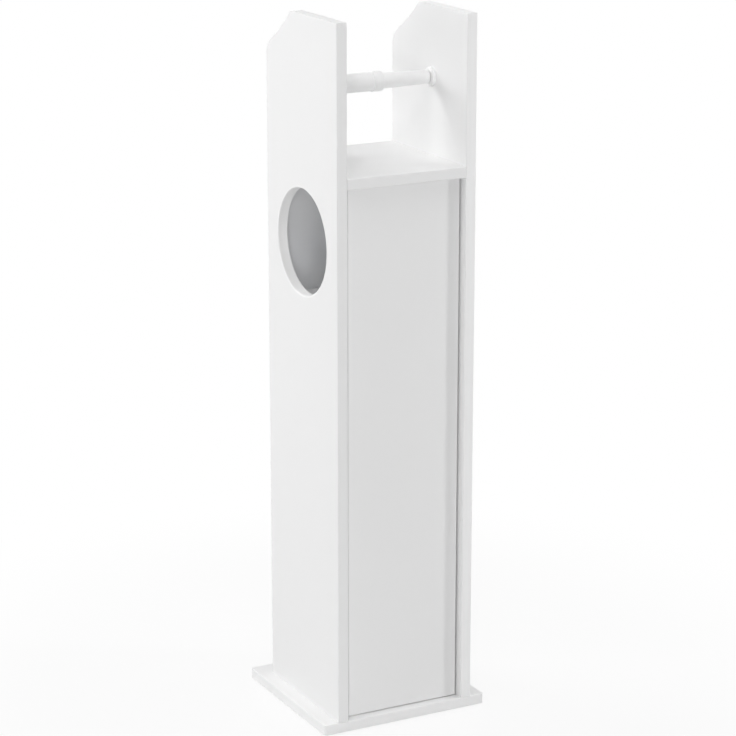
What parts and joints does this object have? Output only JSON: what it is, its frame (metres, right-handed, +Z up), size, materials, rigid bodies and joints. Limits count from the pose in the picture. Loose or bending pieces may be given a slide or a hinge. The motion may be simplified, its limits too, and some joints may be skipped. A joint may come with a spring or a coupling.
{
  "type": "toilet roll storage cabinet",
  "caption": "Narrow boarded floor cabinet with an inset pivot door for spare toilet rolls, a round side hole with a bay behind it, and a spring roller between tall side panels.",
  "frame": {"origin": "on the floor, under the middle of the base board", "axes": "+X to the right seen from the door side, +Y from the door side to the far side, +Z up"},
  "size_m": [0.2, 0.19, 0.784],
  "materials": {
    "painted_board": "white satin paint on fibreboard",
    "back_board": "white painted hardboard",
    "roller_plastic": "white moulded plastic",
    "nylon": "natural nylon",
    "dark_plastic": "black moulded plastic",
    "steel": "bright steel",
    "zinc": "zinc-plated",
    "beech": "raw beech",
    "felt": "pressed felt"
  },
  "bodies": {
    "carcass": {"base_board": "painted_board", "side_panel_left": "painted_board", "side_panel_right": "painted_board", "top_shelf": "painted_board", "inner_shelf": "painted_board", "back_panel": "back_board", "pivot_bush_lower": "nylon", "pivot_bush_upper": "nylon", "latch_housing": "nylon", "latch_spring": "steel", "latch_screws": "zinc", "cup_left": "roller_plastic", "cup_right": "roller_plastic", "shelf_supports": "zinc", "shelf_dowels": "beech", "cam_bolts": "zinc", "cam_locks": "zinc", "base_dowels": "beech", "base_screws": "zinc", "foot_pads": "felt"},
    "door": {"door": "painted_board", "pivot_pin_lower": "steel", "pivot_pin_upper": "steel", "strike_plate": "steel", "strike_screws": "zinc"},
    "latch": {"latch_plunger": "dark_plastic", "latch_magnet": "steel"},
    "roller": {"roller_sleeve": "roller_plastic", "roller_spring": "steel"},
    "roller_core": {"roller_core": "roller_plastic"}
  },
  "joints": [
    {"name": "door_pivot", "type": "hinge", "parent": "carcass", "child": "door", "pos_m": [-0.0567, -0.079, 0.3115], "axis": [0, 0, -1], "range_deg": [0, 105]},
    {"name": "latch_push", "type": "slide", "parent": "carcass", "child": "latch", "axis": [0, 1, 0], "range_m": [0, 0.003], "stiffness_N_per_m": 250, "springref_m": -0.004, "deforming": ["latch_spring"]},
    {"name": "roller_spin", "type": "hinge", "parent": "carcass", "child": "roller", "pos_m": [0, -0.017, 0.7065], "axis": [1, 0, 0], "continuous": true},
    {"name": "roller_telescope", "type": "slide", "parent": "roller", "child": "roller_core", "axis": [-1, 0, 0], "range_m": [0, 0.008], "stiffness_N_per_m": 350, "springref_m": -0.006, "deforming": ["roller_spring"]}
  ]
}
